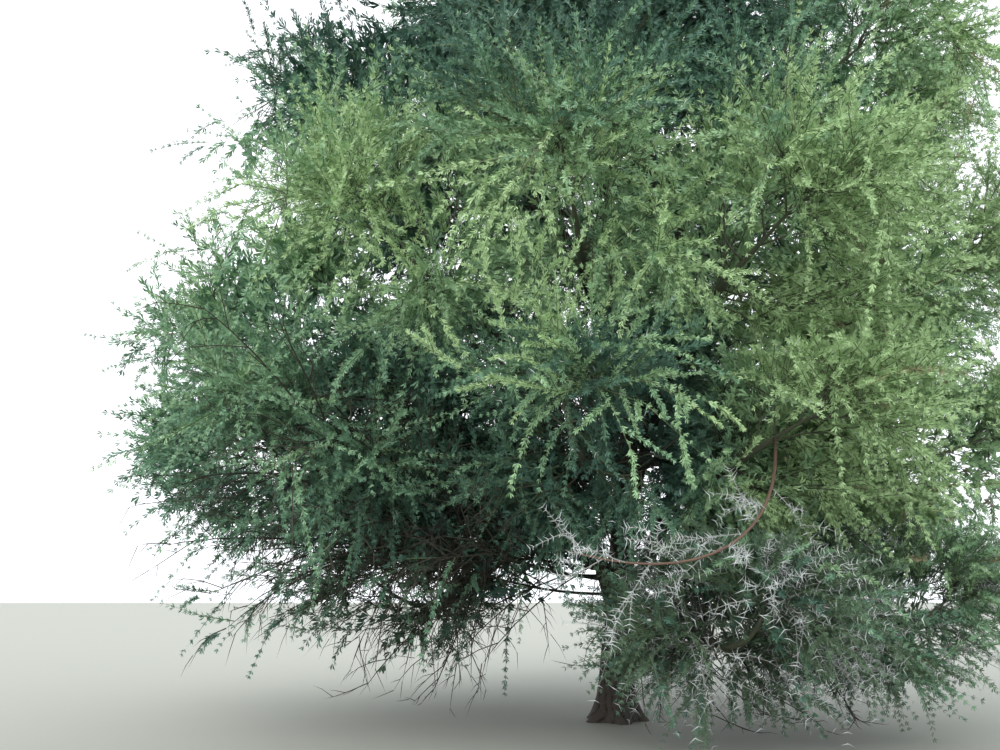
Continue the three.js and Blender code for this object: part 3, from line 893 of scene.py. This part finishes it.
# Forked sprays stand out light in front. Their tips lie in rounded places as seen there, this far off.
# Some fan out from one root and turn up, and the others arch over and droop.
forkedSprays = {
    "places": (
        dict(centre=(-1.3, 4.3), half=(0.9, 0.85), count=11, root=(-1.6, 3.95), arch=-0.16, droop=0),
        dict(centre=(0.15, 3.4), half=(0.5, 0.7), count=5, root=None, arch=0.18, droop=0.12),
    ),
    "distance": (7.1, 7.7),
    "past": 0.15,  # of the length, by which a spray runs on past its tip's place
    "forks": dict(each=4, lengths=(0.28, 0.65), lean=(0.5, 0.95), fall=(-0.15, 0.25)),
}


# Each spray grows from the twig of a mass that is nearest to its root, or else to its tip
def growForkedSprays(twigs, owner):
    places = forkedSprays["places"]
    counts = [place["count"] for place in places]
    tips, roots = [], []
    for place, count in zip(places, counts):
        off = unit(draws.normal(0, 1, (count, 2))) * np.sqrt(draws.random((count, 1)))
        tips.append(np.array(place["centre"]) + off * np.array(place["half"]))
        roots.append(tips[-1] if place["root"] is None else np.tile(place["root"], (count, 1)))
    distance = draws.uniform(*forkedSprays["distance"], sum(counts))
    tip, root = [pointsSeen(np.concatenate(seen), distance) for seen in (tips, roots)]
    arch, droop = [column(np.repeat([place[key] for place in places], counts)) for key in ("arch", "droop")]
    foot, twig = nearestOnTwigs(root, twigs, np.linspace(0.3, 0.8, 4))
    end = tip + (tip - foot) * forkedSprays["past"] - zenith * droop
    length = np.linalg.norm(end - foot, axis=1, keepdims=True)
    middle = (foot + end) / 2 + zenith * arch * length
    stems = np.stack([foot, middle, end], axis=1)
    every = np.concatenate([stems, growTangle(stems, forkedSprays["forks"])])
    twig = np.append(twig, np.repeat(twig, forkedSprays["forks"]["each"]))
    return every, owner[twig], twig


# Shoots leave their twig turned on by the golden angle, lean forward, and bend up and then over.
# One that would end outside its mass's space is drawn in, once or twice, or else skipped.
# Free ones grow from boughs or between masses. The deeper inside the crown, the fewer are kept.
def growShoots(twigs, tips, owner, isFree):
    each = foliage["shoots"]
    size = (len(twigs), each)
    share = spacedShares(size, *foliage["shootFeet"], 0.8)
    turn = goldenTurns(*size)
    foot, heading = leaveParents(twigs, share, turn, draws.uniform(*foliage["shootLean"], size))
    offset = foot - massCentre[owner][:, None]
    away = np.where(isFree[:, None, None], heading, unit(offset))
    above = np.clip(offset[:, :, 2:] / massHalf[owner][:, None, 2:] + 0.25, -0.6, 1)
    heading = unit(heading + foliage["outward"] * away + foliage["upward"] * above * zenith)
    length = column(draws.uniform(*foliage["shootLength"], size))
    length = length * np.where(draws.random(length.shape) < foliage["whips"], 1.5, 1)
    bend = column(draws.uniform(*foliage["bend"], size))
    swing = draws.normal(0, foliage["swing"], (*size, 3))
    middle = foot + (heading * 0.5 + zenith * bend * 0.6) * length
    end = foot + (heading * 0.96 + swing - zenith * foliage["droop"]) * length
    leading = np.stack([twigs[:, 2], (twigs[:, 2] + tips) / 2 + zenith * 0.06, tips], axis=1)
    sides = np.stack([foot, middle, end], axis=2).reshape(-1, 3, 3)
    sideOwner, sideFree = np.repeat(owner, each), np.repeat(isFree, each)
    for _ in range(2):
        outside = ~keepsToSpace(sides[:, 2], sideOwner) & ~sideFree
        drawnIn = sides[:, :1] + (sides - sides[:, :1]) * foliage["drawnIn"]
        sides = np.where(outside[:, None, None], drawnIn, sides)
    every = np.concatenate([leading, sides])
    everyOwner, everyFree = np.concatenate([owner, sideOwner]), np.concatenate([isFree, sideFree])
    everyTwig = np.concatenate([np.arange(len(twigs)), np.repeat(np.arange(len(twigs)), each)])
    low, high = boxLow - foliage["overhang"], boxHigh + foliage["overhang"]
    low[2] = foliage["lowest"]
    kept = np.all((every[:, 2] > low) & (every[:, 2] < high), axis=1)
    kept &= (keepsToSpace(every[:, 2], everyOwner) | everyFree) & clearOfLimbs(every[:, 1])
    share = (crownDepth(every[:, 1]) - foliage["innerDepth"]) / foliage["innerSpan"]
    kept &= draws.random(len(every)) < np.clip(share, foliage["innerKept"], 1)
    for hollow in hollows.values():
        off = (every[:, 1] - np.array(hollow["centre"])) / np.array(hollow["half"])
        kept &= np.linalg.norm(off, axis=1) > 1
    seen = seenPlaces(every[:, 1])
    edge = np.interp(seen[:, 1], leftEdge["heights"], leftEdge["sides"])
    isPast = (seen[:, 0] < edge) & (seen[:, 1] > leftEdge["heights"][0])
    kept &= ~isPast | (draws.random(len(every)) < leftEdge["kept"])
    return every[kept], everyOwner[kept], everyTwig[kept]


# Many thin tubes on quadratic curves, each with even rings, a pole at its foot and a point at its tip,
# its radius going evenly from the first value to the second
def tubes(controls, radii, rings, sides):
    shares = np.linspace(0, 1, rings + 1)[:-1]
    every = np.broadcast_to(shares, (len(controls), rings))
    centre = curvePoints(controls, every)
    run = curveRuns(controls, every)
    across, over = squareTo(run, helperFor(controls[:, 2] - controls[:, 0])[:, None])
    radius = radii[0] + (radii[1] - radii[0]) * column(every)
    angle = np.arange(sides) * 2 * math.pi / sides
    ring = across[:, :, None] * column(np.cos(angle)) + over[:, :, None] * column(np.sin(angle))
    points = (centre[:, :, None] + radius[:, :, None] * ring).reshape(len(controls), -1, 3)
    points = np.concatenate([points, controls[:, :1], controls[:, 2:]], axis=1)
    quads, fans = skinFaces(rings, sides)
    each = rings * sides + 2
    faces = [repeatFaces(quads, len(controls), each), repeatFaces(fans, len(controls), each)]
    return points.reshape(-1, 3), faces


leafShape = {
    "fork": 0.55,  # between its two pinnae
    "widest": 0.62,  # of a pinna's length
    "hook": 0.2,  # of its half width, by which its tip turns in
    "roll": 1.2,
    "sizes": (0.75, 1.25),
}


# Leaves in tufts along shoots. Each is a pair of slim pinnae that fork from one foot. It leans out
# from the shoot, turned on by the golden angle from tuft to tuft, and is rolled a little.
def leafBlades(shoots, kind):
    tufts, each = kind["tufts"], kind["each"]
    count = len(shoots)
    share = np.linspace(0.07, 1, tufts)[None, :] + draws.uniform(-0.02, 0.02, (count, tufts))
    share = np.clip(share, 0, 1)
    foot = curvePoints(shoots, share)[:, :, None]
    run = curveRuns(shoots, share)[:, :, None]
    across, over = squareTo(run, helperFor(shoots[:, 2] - shoots[:, 0])[:, None, None])
    turn = np.arange(tufts)[:, None] * goldenAngle + np.arange(each) * 2 * math.pi / each
    turn = column(turn[None] + draws.uniform(0, 1, (count, tufts, each)))
    lean = column(draws.uniform(*kind["lean"], (count, tufts, each)))
    outward = across * np.cos(turn) + over * np.sin(turn)
    way = run * np.cos(lean) + outward * np.sin(lean)
    flat = unit(np.cross(way, run))
    roll = column(draws.uniform(-leafShape["roll"], leafShape["roll"], (count, tufts, each)))
    side = flat * np.cos(roll) + np.cross(way, flat) * np.sin(roll)
    taper = column(1.05 - 0.5 * np.abs(share - 0.4)[:, :, None] * np.ones(each))
    length = kind["length"] * taper * column(draws.uniform(*leafShape["sizes"], (count, tufts, each)))
    fork, half = leafShape["fork"], kind["width"] / 2
    corners = [foot]
    for hand in (-1, 1):
        middle = way * math.cos(fork / 2) + side * hand * math.sin(fork / 2)
        beside = side * math.cos(fork / 2) - way * hand * math.sin(fork / 2)
        corners += [foot + (middle * leafShape["widest"] + beside * half) * length]
        corners += [foot + (middle - beside * half * leafShape["hook"]) * length]
    return np.stack(np.broadcast_arrays(*corners), axis=3).reshape(-1, 3)


# The hem's twigs on the right grow their side twigs twice
twigs, tips, twigOwner = growTwigs()
isDense = (massLayer[twigOwner] == "hem") & (massCentre[twigOwner, 0] > 0)
withHem = np.append(np.arange(len(twigs)), np.flatnonzero(isDense))
sideTwigs, sideTips, sideOwner = growSideTwigs(twigs[withHem], tips[withHem], twigOwner[withHem])
boughTwigs, boughTips, boughOwner = growBoughTwigs()
gapTwigs, gapTips, gapOwner = growGapTwigs(twigs, twigOwner)
swept = growSweeps()
sweptSides = growTangle(swept, sweeps["sides"])
sweptLeafy = sweptSides[::sweeps["leafyEvery"]]
sweptTips = sweptLeafy[:, 2] * 1.3 - sweptLeafy[:, 1] * 0.3
sweptOwner = np.full(len(sweptLeafy), list(limbs).index("skirt_left_front"))
everyTwig = np.concatenate([twigs, sideTwigs, boughTwigs, gapTwigs, sweptLeafy])
isFree = np.arange(len(everyTwig)) >= len(twigs) + len(sideTwigs)
everyTip = np.concatenate([tips, sideTips, boughTips, gapTips, sweptTips])
everyOwner = np.concatenate([twigOwner, sideOwner, boughOwner, gapOwner, sweptOwner])
shoots, shootOwner, shootTwig = growShoots(everyTwig, everyTip, everyOwner, isFree)
forked, forkedOwner, forkedTwig = growForkedSprays(twigs, twigOwner)
isForked = np.arange(len(shoots) + len(forked)) >= len(shoots)
shoots = np.concatenate([shoots, forked])
shootOwner = np.concatenate([shootOwner, forkedOwner])
shootTwig = np.concatenate([shootTwig, forkedTwig])
print("twigs:", len(twigs), "side:", len(sideTwigs), "on boughs:", len(boughTwigs), "in gaps:", len(gapTwigs))

isLeft = everyTip[:, 0] < -1
bareShare = np.select(
    [isLeft, everyTip[:, 1] < -1], [foliage["bareLeft"], foliage["bareFront"]], foliage["bareBack"]
)
isBareTwig = (massLayer[everyOwner] == "hem") & (draws.random(len(everyTwig)) < bareShare)
isBare = isBareTwig[shootTwig] & ~isForked
isForked = isForked[~isBare]
isGrey = isBare & ~isLeft[shootTwig]
leafy, leafyOwner, leafyTwig = shoots[~isBare], shootOwner[~isBare], shootTwig[~isBare]

# Leaf tones from painted deep shade to painted sunlight, the last for the most sunlit shoots, young tips
# among them. Shoots are dealt out to them by the rank of their sunniness, in these shares.
tones = [
    dict(name="leavesDeepShade", colour=(70, 104, 90), share=0.16, slot="shaded_leaves"),
    dict(name="leavesShade", colour=(81, 117, 99), share=0.15, slot="shaded_leaves"),
    dict(name="leavesHalfShade", colour=(95, 132, 108), share=0.14, slot="shaded_leaves"),
    dict(name="leavesBlueGreen", colour=(109, 147, 119), share=0.15, slot="leaves"),
    dict(name="leavesGreen", colour=(127, 164, 129), share=0.15, slot="leaves"),
    dict(name="leavesLight", colour=(145, 179, 136), share=0.14, slot="leaves"),
    dict(name="leavesYoungSunlit", colour=(163, 192, 140), share=0.11, slot="leaves"),
]
# A painted shade tone for shoots of the hem, from most of them down to a few towards the right
lowTone = dict(name="leavesHemShade", colour=(88, 112, 88), most=0.7, least=0.2, slot="shaded_leaves")
# For a few on the right
russetTone = dict(name="leavesRusset", colour=(150, 144, 114), rate=0.01, slot="leaves")

# What paints a shoot in more light or more shade than its layer
lightRule = {
    "above": 0.15,  # at the top of its mass
    "inside": 1.1,  # less, for each unit of depth further in than this next one
    "skin": 0.9,
    "inner": 0.25,  # less, for the shoots with inner leaves
    "whip": 0.35,
    "forked": 0.8,
    "spray": 0.2,  # the spread of chance for each twig's spray, and for each shoot
    "shoot": 0.1,
}
sprayLight = draws.normal(0, lightRule["spray"], len(everyTwig))

# Rounded places, across and up as seen in front, where the leaves are painted in more light or more shade
# than the rest
lightPlaces = {
    "front band": dict(centre=(-0.7, 5.1), half=(3.4, 1.05), light=1.1),
    "front sprays": dict(centre=(-1.5, 4.0), half=(0.8, 0.8), light=-0.15),
    "right side": dict(centre=(4.5, 4.8), half=(2.6, 4.6), light=1.0),
    "upper crown": dict(centre=(-1.6, 9.6), half=(4.2, 3.4), light=-1.0),
    "dark centre": dict(centre=(-0.1, 3.3), half=(0.8, 0.9), light=-0.85),
    "beside the centre": dict(centre=(1.5, 3.2), half=(1.0, 1.3), light=1.4),
    "under the left skirt": dict(centre=(-3.2, 1.5), half=(2.8, 1.1), light=-0.5),
}

# The upper edge of the front band is ragged: shoots that climb there are painted in more light
crest = {"height": 6.25, "half": 0.45, "sides": (-3.3, 2.2), "climb": 0.25, "light": 1.3}


# Sunniness of shoots: their layer's, and in the front half that of the places they are seen in, more
# towards the skin of the crown and on the upper side of their mass, and a share of chance for each
# spray and each shoot. A place is a rounded box, by the fourth root of the sum of fourth powers.
def sunniness(shoots, owner, twig):
    middle = shoots[:, 1]
    above = np.clip((middle[:, 2] - massCentre[owner, 2]) / massHalf[owner, 2], -1, 1)
    light = np.array([layers[name]["light"] for name in massLayer])[owner] + lightRule["above"] * above
    light = light - lightRule["inside"] * np.clip(lightRule["skin"] - crownDepth(middle), 0, 1)
    seen = seenPlaces(middle)
    isNear = np.clip((1 - middle[:, 1]) / 2, 0, 1)
    for place in lightPlaces.values():
        off = (seen - np.array(place["centre"])) / np.array(place["half"])
        depth = np.sum(off**4, axis=1) ** 0.25
        light = light + place["light"] * np.clip(2.5 - 2 * depth, 0, 1) * isNear
    climbs = (shoots[:, 2, 2] - shoots[:, 0, 2] > crest["climb"]) & (isNear > 0.9)
    climbs &= (seen[:, 0] > crest["sides"][0]) & (seen[:, 0] < crest["sides"][1])
    atCrest = np.clip(1.5 - np.abs(seen[:, 1] - crest["height"]) / crest["half"], 0, 1)
    light = light + crest["light"] * climbs * atCrest
    return light + sprayLight[twig] + draws.normal(0, lightRule["shoot"], len(owner))


ownDepth = depths(leafy[:, 1])[np.arange(len(leafy)), leafyOwner]
isFront = leafy[:, 1, 1] < -1
isSkin = crownDepth(leafy[:, 1]) > np.where(isFront, *foliage["skinDepth"])
isSkin &= ownDepth > np.where(isFront, *foliage["coreDepth"])
isSkin |= isForked
isLong = np.linalg.norm(leafy[:, 2] - leafy[:, 0], axis=1) > 1

leafFinish = {"Roughness": 0.62, "Specular_IOR_Level": 0.35}
# Inner shoots are painted in more shade, and long shoots in front and the forked sprays in more light. The
# rank of the sum deals out the tones.
light = sunniness(leafy, leafyOwner, leafyTwig) - lightRule["inner"] * ~isSkin
light = light + lightRule["whip"] * (isLong & isFront) + lightRule["forked"] * isForked
order = np.argsort(np.argsort(light)) / len(leafy)
isRusset = draws.random(len(leafy)) < russetTone["rate"] * (leafy[:, 1, 0] - 1).clip(0, 3)
lowShare = np.clip(lowTone["most"] - 0.4 * (leafy[:, 1, 0] - 2), lowTone["least"], lowTone["most"])
isLow = ~isRusset & (massLayer[leafyOwner] == "hem") & (draws.random(len(leafy)) < lowShare)
isBetween = ~isSkin & (leafy[:, 1, 1] < -1.5) & (crownDepth(leafy[:, 1]) > 0.5)
kindChoices = [isForked, isBetween, ~isSkin, isLong, isFront]
leafyKind = np.select(kindChoices, ["spray", "between", "inner", "whip", "front"], "back")
print("leafy shoots:", {name: int(np.sum(leafyKind == name)) for name in leafKinds})
leafy[~isSkin, 1] = (leafy[~isSkin, 0] + leafy[~isSkin, 2]) / 2
pinnae = np.array([[0, 1, 2], [0, 3, 4]])
edges = np.cumsum([0] + [tone["share"] for tone in tones])
toneNumber = np.clip(np.searchsorted(edges, order, side="right") - 1, 0, len(tones) - 1)
toneNumber = np.select([isLow, isRusset], [len(tones), len(tones) + 1], toneNumber)
for number, tone in enumerate([*tones, lowTone, russetTone]):
    picked = toneNumber == number
    points = np.concatenate([
        leafBlades(leafy[picked & (leafyKind == name)], kind) for name, kind in leafKinds.items()
    ])
    finish = Finish(tone["name"], Base_Color=linear(tone["colour"]), **leafFinish)
    faces = [repeatFaces(pinnae, len(points) // 5, 5)]
    addPiece(tone["name"], points, faces, finish, tone["slot"])

# The colour and the roughness of each plain finish
wood = {
    "twigBark": ((92, 96, 78), 0.85),
    "greenShoots": ((92, 110, 76), 0.75),
    "shadedTwigs": ((56, 54, 46), 0.9),
    "dryBranch": ((110, 86, 74), 0.85),
    "greyTwigs": ((142, 144, 140), 0.85),
    "paleThorns": ((192, 198, 198), 0.5),
}
finishes = {
    name: Finish(name, Base_Color=linear(colour), Roughness=rough) for name, (colour, rough) in wood.items()
}


def addTubes(name, controls, radii, rings, sides, finish, slot="thorny_twigs", smooth=False):
    return addPiece(name, *tubes(controls, radii, rings, sides), finishes[finish], slot, smooth)


otherTwigs = everyTwig[len(twigs):-len(sweptLeafy)]
twigPiece = addTubes("twigs", twigs, foliage["twigRadii"], 5, 4, "twigBark", smooth=True)
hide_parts(*["mass_" + name for name in limbs])
addTubes("sideTwigs", otherTwigs, foliage["sideRadii"], 2, 3, "twigBark", smooth=True)
addTubes("leafyShoots", leafy[isSkin], foliage["shootRadii"], 2, 3, "greenShoots", "leaves")
addTubes("innerShoots", leafy[~isSkin], foliage["shootRadii"], 1, 3, "greenShoots", "leaves")
addTubes("darkShoots", shoots[isBare & ~isGrey], foliage["shootRadii"], 3, 3, "shadedTwigs")

# One dry branch that droops in front, with its own grey thorny twigs
dryBranch = {
    "parent": "skirt_front_right", "at": 0.6,
    "bend": (0.7, -5.2, 1.35), "tip": (-0.91, -4.2, 1.9),
    "radii": (0.017, 0.006),
    "sides": dict(each=12, lengths=(0.3, 0.7), lean=(0.5, 1.1), fall=(-0.15, 0.25)),
    "ends": dict(each=4, lengths=(0.15, 0.4), lean=(0.4, 0.9), fall=(-0.1, 0.2)),
}

dryRoot = curvePoints(limbs[dryBranch["parent"]]["stem"], [dryBranch["at"]])[0]
dry = np.array([[dryRoot, dryBranch["bend"], dryBranch["tip"]]])
drySides = growTangle(dry, dryBranch["sides"])
dryEnds = growTangle(drySides, dryBranch["ends"])
addTubes("dryBranch", dry, dryBranch["radii"], 16, 8, "dryBranch", smooth=True)
greyShoots = np.concatenate([shoots[isGrey], drySides, dryEnds])
addTubes("bareShoots", greyShoots, foliage["bareRadii"], 3, 3, "greyTwigs")

thorns = {
    "bareNodes": 7, "bareLength": (0.05, 0.09),  # on bare shoots, low down in front
    "leafyNodes": 3, "leafyLength": (0.03, 0.055), "leafyShare": 0.11,  # of the shoots in front
    "radius": 0.004,
    "lean": (1.0, 1.4),
    "askew": 0.25,  # the spread of their turns
}


# Straight thorns in pairs at nodes along shoots, on opposite sides, each a slim three-sided spike
def thornSpikes(shoots, nodes, lengths):
    count = len(shoots)
    share = np.linspace(0.08, 0.97, nodes)[None, :] + draws.uniform(-0.02, 0.02, (count, nodes))
    foot = curvePoints(shoots, share)
    run = curveRuns(shoots, share)
    across, over = squareTo(run, helperFor(shoots[:, 2] - shoots[:, 0])[:, None])
    turn, pairs = goldenTurns(count, nodes), (count, nodes, 2)
    turn = column(np.stack([turn, turn + math.pi], axis=-1) + draws.normal(0, thorns["askew"], pairs))
    lean = column(draws.uniform(*thorns["lean"], pairs))
    outward = across[:, :, None] * np.cos(turn) + over[:, :, None] * np.sin(turn)
    way = (run[:, :, None] * np.cos(lean) + outward * np.sin(lean)).reshape(-1, 3)
    foot = np.repeat(foot.reshape(-1, 3), 2, axis=0)
    length = column(draws.uniform(*lengths, len(foot)))
    across, over = squareTo(way, helperFor(way))
    angle = np.arange(3) * 2 * math.pi / 3
    ring = across[:, None] * column(np.cos(angle)) + over[:, None] * column(np.sin(angle))
    base = foot[:, None] + thorns["radius"] * ring
    points = np.concatenate([base, (foot + way * length)[:, None]], axis=1).reshape(-1, 3)
    spike = np.array([[2, 1, 0], [0, 1, 3], [1, 2, 3], [2, 0, 3]])
    return points, [repeatFaces(spike, len(foot), 4)]


bareThorns = thornSpikes(greyShoots, thorns["bareNodes"], thorns["bareLength"])
some = leafy[isSkin & isFront & (draws.random(len(leafy)) < thorns["leafyShare"])]
leafyThorns = thornSpikes(some, thorns["leafyNodes"], thorns["leafyLength"])
addPiece("thorns", *joinSkins([bareThorns, leafyThorns]), finishes["paleThorns"], "thorny_twigs")
addTubes("sweptLimbs", swept, sweeps["radii"], 12, 6, "shadedTwigs", smooth=True)

# The sweeps' sides are arcs of the tangle too
parents = np.stack([limbs[name]["controls"] for name in tangle["limbs"]])
skins = []
for spec in tangle["orders"]:
    parents = growTangle(parents, spec)
    if not skins:
        parents = np.concatenate([parents, sweptSides])
    skins.append(tubes(parents, spec["radii"], spec["rings"], 3))
addPiece("shadedTwigs", *joinSkins(skins), finishes["shadedTwigs"], "thorny_twigs")

stage = {
    "floorSize": 160, "floor": (156, 158, 150),
    "sky": (0.93, 0.96, 1, 1), "skyStrength": 1.6,
    "sun": (1, 0.97, 0.9), "sunStrength": 1.8,
    "sunWidth": 60, "sunTilt": 48, "sunTurn": -28,  # degrees
}


def addStage():
    floorMesh = bpy.data.meshes.new("floor")
    half = stage["floorSize"] / 2
    corners = [(-half, -half, 0), (half, -half, 0), (half, half, 0), (-half, half, 0)]
    floorMesh.from_pydata(corners, [], [(0, 1, 2, 3)])
    finish = Finish("paleFloor", Base_Color=linear(stage["floor"]), Roughness=0.9)
    floorMesh.materials.append(finish.material)
    floor = bpy.data.objects.new("floor", floorMesh)
    bpy.context.scene.collection.objects.link(floor)

    world = bpy.data.worlds.new("paleSky")
    world.use_nodes = True
    background = world.node_tree.nodes["Background"]
    background.inputs["Color"].default_value = stage["sky"]
    background.inputs["Strength"].default_value = stage["skyStrength"]
    bpy.context.scene.world = world

    lamp = bpy.data.lights.new("softSun", "SUN")
    lamp.energy = stage["sunStrength"]
    lamp.angle = math.radians(stage["sunWidth"])
    lamp.color = stage["sun"]
    sun = bpy.data.objects.new("softSun", lamp)
    sun.rotation_euler = (math.radians(stage["sunTilt"]), 0, math.radians(stage["sunTurn"]))
    bpy.context.scene.collection.objects.link(sun)


def addCamera():
    lens = bpy.data.cameras.new("camera")
    lens.lens = view["lens"]
    camera = bpy.data.objects.new("camera", lens)
    camera.location = view["eye"]
    camera.rotation_euler = (math.radians(90 + view["pitch"]), 0, 0)
    bpy.context.scene.collection.objects.link(camera)
    bpy.context.scene.camera = camera


addStage()
addCamera()
bpy.context.scene.view_settings.view_transform = "Standard"
